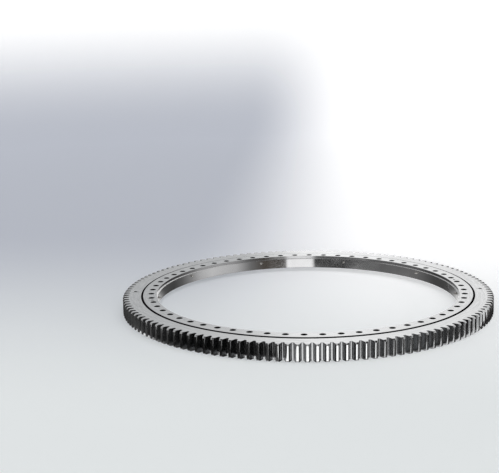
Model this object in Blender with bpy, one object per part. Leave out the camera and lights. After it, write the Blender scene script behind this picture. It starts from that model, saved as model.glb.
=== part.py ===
"""Single-row ball slewing ring with an external gear, as a Blender script.

A geared outer ring and a bolted inner ring turn on one row of balls kept apart by
spacers. Metres, +Z up. The origin is the middle of the gear ring's underside, on the
axis of rotation, and azimuths are measured from +X towards +Y.
"""

import math

import bmesh
import bpy
from mathutils import Matrix

# External gear
MODULE = 0.010
TEETH = 134
PRESSURE_ANGLE = math.radians(20)
PROFILE_SHIFT = -0.5
PITCH_RADIUS = MODULE * TEETH / 2
TIP_RADIUS = PITCH_RADIUS + (1 + PROFILE_SHIFT) * MODULE
ROOT_RADIUS = PITCH_RADIUS - (1.25 - PROFILE_SHIFT) * MODULE
FIRST_TOOTH_AZIMUTH = math.radians(-88.957)

# Heights of the two rings
GEAR_BOTTOM = 0.0
GEAR_TOP = 0.060
INNER_BOTTOM = 0.014
INNER_TOP = 0.062

# Ball track between the rings
BALL_CIRCLE_RADIUS = 0.6035
TRACK_HEIGHT = 0.037
BALL_RADIUS = 0.0125
BALL_COUNT = 120
BALLS_PER_CHAIN = 6
SPACER_RADIUS = 0.0088
GROOVE_RADIUS = 0.0138
GROOVE_CHORDS = 4
RING_GAP = 0.004
TRACK_SIDES = 6

# Inner ring
INNER_SEGMENTS = 120
INNER_WALL_RADIUS = BALL_CIRCLE_RADIUS - RING_GAP / 2
GEAR_WALL_RADIUS = BALL_CIRCLE_RADIUS + RING_GAP / 2
BORE_RADIUS = 0.549
COUNTERBORE_RADIUS = 0.5525
COUNTERBORE_DEPTH = 0.0115

# Fixing holes
BOLT_CIRCLE_RADIUS = 0.572
BOLT_COUNT = 60
BOLT_HOLE_RADIUS = 0.011
BOLT_HOLE_SIDES = 8
TAPPED_CIRCLE_RADIUS = 0.634
TAPPED_COUNT = 60
TAPPED_HOLE_RADIUS = 0.007
TAPPED_DEPTH = 0.032
TAPPED_HOLE_SIDES = 6

# Eye bolt holes in the gear ring's top, and the spare blind hole in the inner ring's top
EYE_HOLE_RADIUS = 0.005
EYE_HOLE_DEPTH = 0.022
EYE_HOLE_AZIMUTHS = (math.radians(2), math.radians(182))
SPARE_HOLE_AZIMUTH = math.radians(195)

# Ball loading plug and the pin that locks it
PLUG_AZIMUTH = math.radians(15)
PLUG_RADIUS = 0.0126
PLUG_SIDES = 16
PIN_RADIUS = 0.004
PIN_BOTTOM = 0.030
PIN_RECESS = 0.002
PIN_SIDES = 10

# Grease nipples, screwed into the bore
NIPPLE_COUNT = 10
FIRST_NIPPLE_AZIMUTH = math.radians(3)
NIPPLE_HEIGHT = 0.040
NIPPLE_THREAD_RADIUS = 0.003
NIPPLE_THREAD_LENGTH = 0.011
GREASE_CHANNEL_RADIUS = 0.002

# Seals
SEAL_SEGMENTS = 72
UPPER_REBATE_RADIUS = 0.6068
UPPER_REBATE_BOTTOM = 0.056
LOWER_REBATE_RADIUS = 0.600
LOWER_REBATE_TOP = 0.0183

CLEARANCE = 0.0003


def clear_scene():
    for obj in list(bpy.data.objects):
        bpy.data.objects.remove(obj)


def surface(name, colour, metallic, roughness):
    """A Principled material in one colour."""
    material = bpy.data.materials.new(name)
    material.use_nodes = True
    shader = material.node_tree.nodes["Principled BSDF"]
    shader.inputs["Base Color"].default_value = (*colour, 1)
    shader.inputs["Metallic"].default_value = metallic
    shader.inputs["Roughness"].default_value = roughness
    return material


def finished_mesh(name, bm):
    """The bmesh as a mesh with outward faces, smooth except at its corners."""
    bmesh.ops.recalc_face_normals(bm, faces=bm.faces)
    mesh = bpy.data.meshes.new(name)
    bm.to_mesh(mesh)
    bm.free()
    mesh.shade_smooth()
    mesh.set_sharp_from_angle(angle=math.radians(25))
    return mesh


def place(name, mesh, material, parent=None, azimuth=0.0):
    """An object whose origin is on the slewing axis, turned to its azimuth."""
    obj = bpy.data.objects.new(name, mesh)
    bpy.context.scene.collection.objects.link(obj)
    if not mesh.materials:
        mesh.materials.append(material)
    obj.rotation_euler.z = azimuth
    obj.parent = parent
    return obj


def axis_empty(name):
    """An empty on the slewing axis, at the height of the balls' centres, that turns what it carries."""
    empty = bpy.data.objects.new(name, None)
    bpy.context.scene.collection.objects.link(empty)
    return empty


def vertical_frame(radius, azimuth):
    """Local Z points up, on a vertical line at this radius and azimuth."""
    turn = Matrix.Rotation(azimuth, 4, "Z")
    return turn @ Matrix.Translation((radius, 0, 0))


def radial_frame(height, azimuth):
    """Local Z points straight out from the slewing axis at this height."""
    turn = Matrix.Rotation(azimuth, 4, "Z")
    return Matrix.Translation((0, 0, height)) @ turn @ Matrix.Rotation(math.pi / 2, 4, "Y")


def track_frame(azimuth):
    """Local Z points along the ball track, and the origin is on its centre line."""
    turn = Matrix.Rotation(azimuth, 4, "Z")
    out = Matrix.Translation((BALL_CIRCLE_RADIUS, 0, TRACK_HEIGHT))
    return turn @ out @ Matrix.Rotation(-math.pi / 2, 4, "X")


def add_rings(bm, rings, sides):
    """One closed body through rings given as (frame, radius), each in its frame's XY plane."""
    loops = []
    for frame, radius in rings:
        loop = []
        for side in range(sides):
            angle = math.tau * (side + 0.5) / sides
            point = Matrix.Translation((radius * math.cos(angle), radius * math.sin(angle), 0))
            loop.append(bm.verts.new((frame @ point).translation))
        loops.append(loop)
    for low, high in zip(loops, loops[1:]):
        for side in range(sides):
            after = (side + 1) % sides
            bm.faces.new((low[side], low[after], high[after], high[side]))
    bm.faces.new(loops[0])
    bm.faces.new(loops[-1])


def turned(frame, profile):
    """Rings along a frame's local Z for a profile of (distance, radius) points."""
    return [(frame @ Matrix.Translation((0, 0, along)), radius) for along, radius in profile]


def straight(frame, start, end, radius):
    return turned(frame, ((start, radius), (end, radius)))


def hole_cutter(name, stacks, sides):
    """One cutter object holding a separate closed body for each stack of rings."""
    bm = bmesh.new()
    for rings in stacks:
        add_rings(bm, rings, sides)
    bmesh.ops.recalc_face_normals(bm, faces=bm.faces)
    mesh = bpy.data.meshes.new(name)
    bm.to_mesh(mesh)
    bm.free()
    cutter = bpy.data.objects.new(name, mesh)
    bpy.context.scene.collection.objects.link(cutter)
    cutter.hide_render = True
    cutter.display_type = "WIRE"
    return cutter


def cut(target, cutter):
    boolean = target.modifiers.new(cutter.name, "BOOLEAN")
    boolean.operation = "DIFFERENCE"
    boolean.solver = "EXACT"
    boolean.object = cutter


def groove(side):
    """The ball groove of one ring from top to bottom: side +1 is cut in the gear ring, -1 in the inner."""
    reach = math.acos(RING_GAP / 2 / GROOVE_RADIUS)
    points = []
    for step in range(GROOVE_CHORDS + 1):
        angle = reach - 2 * reach * step / GROOVE_CHORDS
        radius = BALL_CIRCLE_RADIUS + side * GROOVE_RADIUS * math.cos(angle)
        points.append((radius, TRACK_HEIGHT + GROOVE_RADIUS * math.sin(angle)))
    return points


def add_turned_ring(bm, profile, segments):
    """A closed (radius, height) profile turned round the slewing axis."""
    rows = []
    for segment in range(segments):
        azimuth = math.tau * (segment + 0.5) / segments
        x = math.cos(azimuth)
        y = math.sin(azimuth)
        rows.append([bm.verts.new((radius * x, radius * y, height)) for radius, height in profile])
    for row, after in zip(rows, rows[1:] + rows[:1]):
        for index in range(len(profile)):
            following = (index + 1) % len(profile)
            bm.faces.new((row[index], row[following], after[following], after[index]))


def involute(angle):
    return math.tan(angle) - angle


def tooth_half_angle(radius):
    """Half the angle that an involute tooth fills at this radius."""
    base_radius = PITCH_RADIUS * math.cos(PRESSURE_ANGLE)
    at_radius = math.acos(base_radius / radius)
    at_pitch = (math.pi / 2 + 2 * PROFILE_SHIFT * math.tan(PRESSURE_ANGLE)) / TEETH
    return at_pitch + involute(PRESSURE_ANGLE) - involute(at_radius)


def gear_ring_mesh():
    """The toothed ring, one sector for each tooth, from one tooth's root to the next."""
    root_half = tooth_half_angle(ROOT_RADIUS)
    tip_half = tooth_half_angle(TIP_RADIUS)
    tooth = (
        (ROOT_RADIUS, -root_half),
        (TIP_RADIUS, -tip_half),
        (TIP_RADIUS, tip_half),
        (ROOT_RADIUS, root_half),
    )
    wall = [(UPPER_REBATE_RADIUS, GEAR_TOP), (UPPER_REBATE_RADIUS, UPPER_REBATE_BOTTOM)]
    wall += [(GEAR_WALL_RADIUS, UPPER_REBATE_BOTTOM), *groove(+1), (GEAR_WALL_RADIUS, GEAR_BOTTOM)]

    bm = bmesh.new()
    tops = []
    bottoms = []
    walls = []
    for index in range(TEETH):
        centre = FIRST_TOOTH_AZIMUTH + math.tau * index / TEETH
        points = [(r * math.cos(centre + a), r * math.sin(centre + a)) for r, a in tooth]
        tops.append([bm.verts.new((x, y, GEAR_TOP)) for x, y in points])
        bottoms.append([bm.verts.new((x, y, GEAR_BOTTOM)) for x, y in points])
        x = math.cos(centre - root_half)
        y = math.sin(centre - root_half)
        walls.append([bm.verts.new((r * x, r * y, z)) for r, z in wall])
    for index in range(TEETH):
        after = (index + 1) % TEETH
        top = [*tops[index], tops[after][0]]
        bottom = [*bottoms[index], bottoms[after][0]]
        for step in range(len(tooth)):
            bm.faces.new((bottom[step], bottom[step + 1], top[step + 1], top[step]))
        here = walls[index]
        there = walls[after]
        for step in range(len(wall) - 1):
            bm.faces.new((here[step], there[step], there[step + 1], here[step + 1]))
        bm.faces.new([*top, there[0], here[0]])
        bm.faces.new([*bottom, there[-1], here[-1]])
    return finished_mesh("outer_gear_ring", bm)


def build_gear_ring(steel):
    """The outer ring, tapped from below for its bolts and from above for two eye bolts."""
    ring = place("outer_gear_ring", gear_ring_mesh(), steel)
    tapped = [
        straight(
            vertical_frame(TAPPED_CIRCLE_RADIUS, math.tau * index / TAPPED_COUNT),
            GEAR_BOTTOM - 0.005,
            GEAR_BOTTOM + TAPPED_DEPTH,
            TAPPED_HOLE_RADIUS,
        )
        for index in range(TAPPED_COUNT)
    ]
    cut(ring, hole_cutter("tapped_hole_cutter", tapped, TAPPED_HOLE_SIDES))
    eyes = [
        straight(
            vertical_frame(TAPPED_CIRCLE_RADIUS, azimuth),
            GEAR_TOP - EYE_HOLE_DEPTH,
            GEAR_TOP + 0.005,
            EYE_HOLE_RADIUS,
        )
        for azimuth in EYE_HOLE_AZIMUTHS
    ]
    cut(ring, hole_cutter("eye_bolt_hole_cutter", eyes, BOLT_HOLE_SIDES))
    return ring


def pin_hole_cutter():
    """The hole for the plug's pin, from the inner ring's top down into the plug."""
    frame = vertical_frame(BOLT_CIRCLE_RADIUS, PLUG_AZIMUTH)
    hole = straight(frame, PIN_BOTTOM - CLEARANCE, INNER_TOP + 0.005, PIN_RADIUS + CLEARANCE)
    return hole_cutter("pin_hole_cutter", [hole], PIN_SIDES)


def build_inner_ring(steel, pin_hole, slew_axis):
    """The inner ring, drilled through for its bolts and from the bore for the plug and the nipples."""
    profile = [(INNER_WALL_RADIUS, INNER_TOP), *groove(-1)]
    profile += [(INNER_WALL_RADIUS, LOWER_REBATE_TOP), (LOWER_REBATE_RADIUS, LOWER_REBATE_TOP)]
    profile += [(LOWER_REBATE_RADIUS, INNER_BOTTOM), (BORE_RADIUS, INNER_BOTTOM)]
    profile += [(BORE_RADIUS, INNER_TOP - COUNTERBORE_DEPTH)]
    profile += [(COUNTERBORE_RADIUS, INNER_TOP - COUNTERBORE_DEPTH), (COUNTERBORE_RADIUS, INNER_TOP)]
    bm = bmesh.new()
    add_turned_ring(bm, profile, INNER_SEGMENTS)
    ring = place("inner_ring", finished_mesh("inner_ring", bm), steel, slew_axis)

    bolts = [
        straight(
            vertical_frame(BOLT_CIRCLE_RADIUS, math.tau * index / BOLT_COUNT),
            INNER_BOTTOM - 0.005,
            INNER_TOP + 0.005,
            BOLT_HOLE_RADIUS,
        )
        for index in range(BOLT_COUNT)
    ]
    spare_frame = vertical_frame(BOLT_CIRCLE_RADIUS, SPARE_HOLE_AZIMUTH)
    spare = straight(spare_frame, INNER_TOP - EYE_HOLE_DEPTH, INNER_TOP + 0.005, PIN_RADIUS)
    cut(ring, hole_cutter("bolt_hole_cutter", [*bolts, spare], BOLT_HOLE_SIDES))

    grease_profile = (
        (BORE_RADIUS - 0.005, NIPPLE_THREAD_RADIUS + CLEARANCE),
        (BORE_RADIUS + NIPPLE_THREAD_LENGTH + 0.001, NIPPLE_THREAD_RADIUS + CLEARANCE),
        (BORE_RADIUS + NIPPLE_THREAD_LENGTH + 0.001, GREASE_CHANNEL_RADIUS),
        (BALL_CIRCLE_RADIUS - BALL_RADIUS, GREASE_CHANNEL_RADIUS),
    )
    grease = [turned(radial_frame(NIPPLE_HEIGHT, azimuth), grease_profile) for azimuth in nipple_azimuths()]
    cut(ring, hole_cutter("grease_hole_cutter", grease, BOLT_HOLE_SIDES))

    plug_hole = straight(
        radial_frame(TRACK_HEIGHT, PLUG_AZIMUTH),
        BORE_RADIUS - 0.005,
        BALL_CIRCLE_RADIUS,
        PLUG_RADIUS + CLEARANCE,
    )
    cut(ring, hole_cutter("plug_hole_cutter", [plug_hole], PLUG_SIDES))
    cut(ring, pin_hole)
    return ring


def build_loading_plug(steel, pin_hole, slew_axis):
    """The plug that closes the ball loading hole, its end cut to the shape of the track."""
    frame = radial_frame(TRACK_HEIGHT, PLUG_AZIMUTH)
    bm = bmesh.new()
    add_rings(bm, straight(frame, BORE_RADIUS, INNER_WALL_RADIUS - 0.0015, PLUG_RADIUS), PLUG_SIDES)
    plug = place("loading_plug", finished_mesh("loading_plug", bm), steel, slew_axis)
    half_length = math.radians(2.5)
    reach = 3
    track = [
        (track_frame(PLUG_AZIMUTH + half_length * step / reach), GROOVE_RADIUS)
        for step in range(-reach, reach + 1)
    ]
    cut(plug, hole_cutter("plug_track_cutter", [track], PLUG_SIDES))
    cut(plug, pin_hole)
    return plug


def build_plug_pin(steel, slew_axis):
    frame = vertical_frame(BOLT_CIRCLE_RADIUS, PLUG_AZIMUTH)
    bm = bmesh.new()
    add_rings(bm, straight(frame, PIN_BOTTOM, INNER_TOP - PIN_RECESS, PIN_RADIUS), PIN_SIDES)
    return place("loading_plug_pin", finished_mesh("loading_plug_pin", bm), steel, slew_axis)


def nipple_azimuths():
    return [FIRST_NIPPLE_AZIMUTH + math.tau * index / NIPPLE_COUNT for index in range(NIPPLE_COUNT)]


def build_grease_nipples(steel, slew_axis):
    """Nipples with a thread in the ring, a collar against the bore and a waisted head inside it."""
    profile = (
        (BORE_RADIUS + NIPPLE_THREAD_LENGTH, NIPPLE_THREAD_RADIUS),
        (BORE_RADIUS - 0.0006, NIPPLE_THREAD_RADIUS),
        (BORE_RADIUS - 0.0006, 0.0045),
        (BORE_RADIUS - 0.0041, 0.0045),
        (BORE_RADIUS - 0.0056, 0.0024),
        (BORE_RADIUS - 0.0071, 0.0032),
        (BORE_RADIUS - 0.0091, 0.0016),
    )
    bm = bmesh.new()
    add_rings(bm, turned(radial_frame(NIPPLE_HEIGHT, 0), profile), BOLT_HOLE_SIDES)
    mesh = finished_mesh("grease_nipple", bm)
    for number, azimuth in enumerate(nipple_azimuths(), start=1):
        place(f"grease_nipple_{number:02d}", mesh, steel, slew_axis, azimuth)


def build_seals(rubber, slew_axis):
    """The upper seal lies in the gear ring's rebate and the lower one in the inner ring's."""
    upper = [
        (0.6024, UPPER_REBATE_BOTTOM + CLEARANCE),
        (UPPER_REBATE_RADIUS - 0.0005, UPPER_REBATE_BOTTOM + CLEARANCE),
        (UPPER_REBATE_RADIUS - 0.0005, GEAR_TOP - 0.0006),
        (0.6024, GEAR_TOP - 0.0006),
    ]
    lower = [
        (LOWER_REBATE_RADIUS + 0.0009, INNER_BOTTOM + CLEARANCE),
        (GEAR_WALL_RADIUS - 0.0005, INNER_BOTTOM + CLEARANCE),
        (GEAR_WALL_RADIUS - 0.0005, LOWER_REBATE_TOP - CLEARANCE),
        (LOWER_REBATE_RADIUS + 0.0009, LOWER_REBATE_TOP - CLEARANCE),
    ]
    for name, profile, parent in (("upper_seal", upper, None), ("lower_seal", lower, slew_axis)):
        bm = bmesh.new()
        add_turned_ring(bm, profile, SEAL_SEGMENTS)
        place(name, finished_mesh(name, bm), rubber, parent)


def ball_chain_rings():
    """Six balls in a row along the track, each followed by its spacer."""
    pitch = math.tau * BALL_CIRCLE_RADIUS / BALL_COUNT
    shoulder = math.sqrt(BALL_RADIUS**2 - SPACER_RADIUS**2)
    stations = [(-0.96 * BALL_RADIUS, 0.28 * BALL_RADIUS)]
    for index in range(BALLS_PER_CHAIN):
        centre = index * pitch
        stations += [(centre - shoulder, SPACER_RADIUS), (centre, BALL_RADIUS)]
        stations += [(centre + shoulder, SPACER_RADIUS)]
    last_ball = (BALLS_PER_CHAIN - 1) * pitch
    stations += [(last_ball + pitch - BALL_RADIUS - CLEARANCE, SPACER_RADIUS)]
    return [(track_frame(along / BALL_CIRCLE_RADIUS), radius) for along, radius in stations]


def build_ball_chains(steel, orbit_axis):
    bm = bmesh.new()
    add_rings(bm, ball_chain_rings(), TRACK_SIDES)
    mesh = finished_mesh("ball_chain", bm)
    count = BALL_COUNT // BALLS_PER_CHAIN
    for index in range(count):
        place(f"ball_chain_{index + 1:02d}", mesh, steel, orbit_axis, math.tau * index / count)


def main():
    clear_scene()
    ground_steel = surface("ground_steel", (0.56, 0.57, 0.58), 1.0, 0.30)
    gear_steel = surface("gear_steel", (0.48, 0.49, 0.50), 1.0, 0.33)
    ball_steel = surface("ball_steel", (0.72, 0.72, 0.73), 1.0, 0.10)
    plug_steel = surface("plug_steel", (0.50, 0.50, 0.51), 1.0, 0.38)
    pin_steel = surface("pin_steel", (0.40, 0.40, 0.41), 1.0, 0.42)
    nipple_steel = surface("nipple_steel", (0.62, 0.60, 0.55), 1.0, 0.30)
    seal_rubber = surface("seal_rubber", (0.015, 0.015, 0.016), 0.0, 0.65)

    slew_axis = axis_empty("slew_axis")
    orbit_axis = axis_empty("ball_orbit_axis")
    pin_hole = pin_hole_cutter()
    build_gear_ring(gear_steel)
    build_inner_ring(ground_steel, pin_hole, slew_axis)
    build_loading_plug(plug_steel, pin_hole, slew_axis)
    build_plug_pin(pin_steel, slew_axis)
    build_grease_nipples(nipple_steel, slew_axis)
    build_seals(seal_rubber, slew_axis)
    build_ball_chains(ball_steel, orbit_axis)


main()
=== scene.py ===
"""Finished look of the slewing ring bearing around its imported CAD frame.

Metres, +Z up along the slewing axis, azimuths from +X towards +Y. The CAD nodes give the
radii and heights; the finer shapes that the CAD leaves out (involute flanks, root fillets,
edge breaks, close raceways, threads, separate balls and spacers) are worked out here.
"""

import math

import bmesh
import bpy
import numpy as np
from mathutils import Matrix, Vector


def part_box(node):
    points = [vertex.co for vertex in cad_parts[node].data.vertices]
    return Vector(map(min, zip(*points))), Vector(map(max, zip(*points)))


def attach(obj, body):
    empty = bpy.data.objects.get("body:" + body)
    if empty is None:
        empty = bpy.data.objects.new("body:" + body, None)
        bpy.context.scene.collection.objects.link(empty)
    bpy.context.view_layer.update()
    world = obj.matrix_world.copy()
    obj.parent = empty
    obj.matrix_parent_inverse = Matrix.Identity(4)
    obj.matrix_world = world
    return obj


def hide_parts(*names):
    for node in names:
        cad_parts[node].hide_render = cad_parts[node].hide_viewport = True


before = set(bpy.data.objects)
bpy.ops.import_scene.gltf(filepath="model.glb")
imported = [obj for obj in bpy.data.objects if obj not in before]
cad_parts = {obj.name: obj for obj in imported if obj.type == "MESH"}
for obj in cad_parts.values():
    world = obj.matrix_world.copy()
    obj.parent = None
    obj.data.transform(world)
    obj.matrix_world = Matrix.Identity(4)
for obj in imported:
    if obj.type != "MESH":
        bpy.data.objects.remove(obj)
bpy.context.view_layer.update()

# Gear data of the outer ring
MODULE = 0.010
TEETH = 134
PRESSURE_ANGLE = math.radians(20)
PROFILE_SHIFT = -0.5
FIRST_TOOTH_AZIMUTH = math.radians(-88.957)
PITCH_RADIUS = MODULE * TEETH / 2
ROOT_RADIUS = PITCH_RADIUS - (1.25 - PROFILE_SHIFT) * MODULE
TOOTH_END_CHAMFER = 0.0052
TOOTH_EDGE_BREAK = 0.0005
TIP_CORNER = 0.0004
ROOT_FILLET = 0.0030
FLANK_STEPS = 6
FILLET_STEPS = 5
WALL_STEPS_PER_TOOTH = 3

# Ball track
TRACK_HEIGHT = 0.037
BALL_RADIUS = 0.0125
BALL_COUNT = 120
BALLS_PER_CHAIN = 6
CHAIN_COUNT = BALL_COUNT // BALLS_PER_CHAIN
GROOVE_RADIUS = 0.0131
GROOVE_PLAY = 0.00008
GROOVE_STEPS = 9
SPACER_RADIUS = 0.0100
SPACER_HOLE_RADIUS = 0.0020

# Holes; a thread is (core radius, outer radius, pitch)
BOLT_CIRCLE_RADIUS = 0.572
BOLT_COUNT = 60
BOLT_HOLE_RADIUS = 0.011
TAPPED_CIRCLE_RADIUS = 0.634
TAPPED_COUNT = 60
TAPPED_DEPTH = 0.032
TAPPED_THREAD = (0.0070, 0.0080, 0.0020)
EYE_THREAD = (0.0051, 0.0060, 0.00175)
TAPPED_TURNS = 5
EYE_HOLE_DEPTH = 0.022
EYE_TURNS = 9
EYE_HOLE_AZIMUTHS = (math.radians(2), math.radians(182))
SPARE_THREAD = (0.0042, 0.0050, 0.0015)
SPARE_TURNS = 9
SPARE_HOLE_AZIMUTH = math.radians(195)
HOLE_CHAMFER = 0.0004
THROUGH = 0.003
SMALL_HOLE_SIDES = 20
HOLE_SIDES = 24
BOLT_HOLE_SIDES = 32

# Plug, pin and nipples
PLUG_AZIMUTH = math.radians(15)
PLUG_RADIUS = 0.0126
PLUG_CHAMFER = 0.001
PLUG_SETBACK = 0.0015
PLUG_SIDES = 48
PLUG_TRACK_HALF = math.radians(2.5)
PULLER_DEPTH = 0.014
PULLER_TURNS = 8
PIN_RADIUS = 0.004
NIPPLE_COUNT = 10
FIRST_NIPPLE_AZIMUTH = math.radians(3)
NIPPLE_HEIGHT = 0.040
NIPPLE_THREAD_RADIUS = 0.003
NIPPLE_SEAT_DEPTH = 0.012
GREASE_CHANNEL_RADIUS = 0.002

# Turning
RING_SEGMENTS = 360
COUNTERBORE_DEPTH = 0.0115
COUNTERBORE_RADIUS = 0.5525
EDGE_CHAMFER = 0.0008
FIT = 0.00015
SHARP_DEGREES = 30

# Seals: the gaps that the CAD leaves round them, and the upper one's flange over the gear ring's edge
SEAL_SIDE_GAP = 0.0005
SEAL_END_GAP = 0.0003
LOWER_REBATE_DEPTH = 0.0015
FLANGE_WIDTH = 0.0022
FLANGE_LIFT = 0.00003
FLANGE_HEIGHT = 0.0006

# How upright a face's normal is on a flat face and at least is on a chamfer, and how near counts as at
FLAT = 0.95
SLOPED = 0.3
AT_TIP = 0.0002
AT_FACE = 0.0001


def node_radii(node):
    """Smallest and largest distance of a CAD node's corners from the slewing axis."""
    distances = [math.hypot(v.co.x, v.co.y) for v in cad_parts[node].data.vertices]
    return min(distances), max(distances)


def node_heights(node):
    low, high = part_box(node)
    return low.z, high.z


GEAR_WALL_RADIUS, TIP_RADIUS = node_radii("outer_gear_ring")
BORE_RADIUS, INNER_WALL_RADIUS = node_radii("inner_ring")
GEAR_BOTTOM, GEAR_TOP = node_heights("outer_gear_ring")
INNER_BOTTOM, INNER_TOP = node_heights("inner_ring")
UPPER_SEAL_BOTTOM, UPPER_SEAL_TOP = node_heights("upper_seal")
LOWER_SEAL_BOTTOM, LOWER_SEAL_TOP = node_heights("lower_seal")
PIN_BOTTOM, PIN_TOP = node_heights("loading_plug_pin")
BALL_CIRCLE_RADIUS = (GEAR_WALL_RADIUS + INNER_WALL_RADIUS) / 2
LEDGE_HEIGHT = INNER_TOP - COUNTERBORE_DEPTH
UPPER_REBATE_RADIUS = node_radii("upper_seal")[1] + SEAL_SIDE_GAP
UPPER_REBATE_BOTTOM = UPPER_SEAL_BOTTOM - SEAL_END_GAP
LOWER_REBATE_RADIUS = INNER_WALL_RADIUS - LOWER_REBATE_DEPTH
LOWER_REBATE_TOP = LOWER_SEAL_TOP + SEAL_END_GAP


# ---------------------------------------------------------------- mesh helpers


def vertical_frame(radius, azimuth):
    """Local Z points up, on a vertical line at this radius and azimuth."""
    return Matrix.Rotation(azimuth, 4, "Z") @ Matrix.Translation((radius, 0, 0))


def radial_frame(height, azimuth):
    """Local Z points straight out from the slewing axis at this height."""
    turn = Matrix.Rotation(azimuth, 4, "Z")
    return Matrix.Translation((0, 0, height)) @ turn @ Matrix.Rotation(math.pi / 2, 4, "Y")


def track_frame(azimuth):
    """Local Z points along the ball track, and the origin is on its centre line."""
    turn = Matrix.Rotation(azimuth, 4, "Z")
    out = Matrix.Translation((BALL_CIRCLE_RADIUS, 0, TRACK_HEIGHT))
    return turn @ out @ Matrix.Rotation(-math.pi / 2, 4, "X")


def add_loops(bm, stations, sides):
    """Rings of vertices for (frame, distance along local Z, radius), joined one to the next."""
    loops = []
    for frame_matrix, along, radius in stations:
        loop = []
        for side in range(sides):
            angle = math.tau * (side + 0.5) / sides
            local = Matrix.Translation((radius * math.cos(angle), radius * math.sin(angle), along))
            loop.append(bm.verts.new((frame_matrix @ local).translation))
        loops.append(loop)
    for low, high in zip(loops, loops[1:]):
        join_loops(bm, low, high)
    return loops


def join_loops(bm, low, high):
    for side in range(len(low)):
        after = (side + 1) % len(low)
        bm.faces.new((low[side], low[after], high[after], high[side]))


def add_turned(bm, frame_matrix, profile, sides):
    """A solid turned about a frame's local Z through (distance, radius) points, with flat ends."""
    loops = add_loops(bm, [(frame_matrix, along, radius) for along, radius in profile], sides)
    bm.faces.new(loops[0])
    bm.faces.new(loops[-1])


def add_hollow_turned(bm, frame_matrix, profile, sides):
    """A solid with a hole, turned about a frame's local Z from a closed (distance, radius) profile."""
    loops = add_loops(bm, [(frame_matrix, along, radius) for along, radius in profile], sides)
    join_loops(bm, loops[-1], loops[0])


def add_ring(bm, profile, segments):
    """A closed (radius, height) profile turned round the slewing axis."""
    rows = []
    for segment in range(segments):
        azimuth = math.tau * segment / segments
        x = math.cos(azimuth)
        y = math.sin(azimuth)
        rows.append([bm.verts.new((radius * x, radius * y, height)) for radius, height in profile])
    for row, after in zip(rows, rows[1:] + rows[:1]):
        join_loops(bm, row, after)


def add_circles(bm, profile, segments):
    """Circles round the slewing axis at each (radius, height), joined one to the next."""
    rows = []
    for radius, height in profile:
        row = []
        for segment in range(segments):
            azimuth = math.tau * segment / segments
            x = radius * math.cos(azimuth)
            y = radius * math.sin(azimuth)
            row.append(bm.verts.new((x, y, height)))
        rows.append(row)
    for low, high in zip(rows, rows[1:]):
        join_loops(bm, low, high)
    return rows


def finished_mesh(name, bm, sharp_degrees=SHARP_DEGREES):
    bmesh.ops.recalc_face_normals(bm, faces=bm.faces)
    mesh = bpy.data.meshes.new(name)
    bm.to_mesh(mesh)
    bm.free()
    mesh.shade_smooth()
    mesh.set_sharp_from_angle(angle=math.radians(sharp_degrees))
    return mesh


def new_object(name, data, azimuth=0.0):
    obj = bpy.data.objects.new(name, data)
    bpy.context.scene.collection.objects.link(obj)
    obj.rotation_euler.z = azimuth
    return obj


def cut_away(obj, bm):
    """Cuts the bmesh's solids out of the object and keeps the result as its mesh."""
    cutter = new_object("cutter", finished_mesh("cutter", bm))
    boolean = obj.modifiers.new("cut", "BOOLEAN")
    boolean.operation = "DIFFERENCE"
    boolean.solver = "EXACT"
    boolean.object = cutter
    graph = bpy.context.evaluated_depsgraph_get()
    mesh = bpy.data.meshes.new_from_object(obj.evaluated_get(graph))
    obj.modifiers.remove(boolean)
    bpy.data.objects.remove(cutter)
    mesh.shade_smooth()
    mesh.set_sharp_from_angle(angle=math.radians(SHARP_DEGREES))
    obj.data = mesh


def cut_holes(obj, stacks):
    """Cuts a turned solid for each (frame, profile, sides) out of the object."""
    bm = bmesh.new()
    for frame_matrix, profile, sides in stacks:
        add_turned(bm, frame_matrix, profile, sides)
    cut_away(obj, bm)


def paint_faces(obj, materials, choose):
    """Gives each face the material that choose(centre radius, centre height, how upright) names."""
    names = list(materials)
    obj.data.materials.clear()
    for name in names:
        obj.data.materials.append(materials[name])
    for polygon in obj.data.polygons:
        centre = polygon.center
        name = choose(math.hypot(centre.x, centre.y), centre.z, abs(polygon.normal.z))
        polygon.material_index = names.index(name)


def finish_piece(obj, node, body, material=None):
    """Hides the CAD node that a finished piece stands in for, hangs the piece under its body, and gives
    it its material.
    """
    if material is not None:
        obj.data.materials.clear()
        obj.data.materials.append(material)
    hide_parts(node)
    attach(obj, body)


# ---------------------------------------------------------------- hole profiles


def through_hole(low, high, radius):
    """A plain hole between two faces, chamfered at both."""
    wide = radius + HOLE_CHAMFER + THROUGH
    return [
        (low - THROUGH, wide),
        (low + HOLE_CHAMFER, radius),
        (high - HOLE_CHAMFER, radius),
        (high + THROUGH, wide),
    ]


def tapped_hole(mouth, inward, depth, thread, turns):
    """A blind hole with thread grooves from its mouth and a drilled point, along inward +1 or -1."""
    core, outer, pitch = thread
    profile = [(mouth - inward * THROUGH, outer + THROUGH), (mouth, outer)]
    for turn in range(turns):
        start = mouth + inward * pitch * (turn + 0.25)
        profile += [(start, core), (start + inward * pitch / 8, core)]
        profile += [(start + inward * pitch / 2, outer), (start + inward * pitch * 5 / 8, outer)]
    profile += [(mouth + inward * pitch * (turns + 0.25), core)]
    profile += [(mouth + inward * depth, core), (mouth + inward * (depth + 0.6 * core), 0.0002)]
    return profile


# ---------------------------------------------------------------- the two rings


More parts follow.
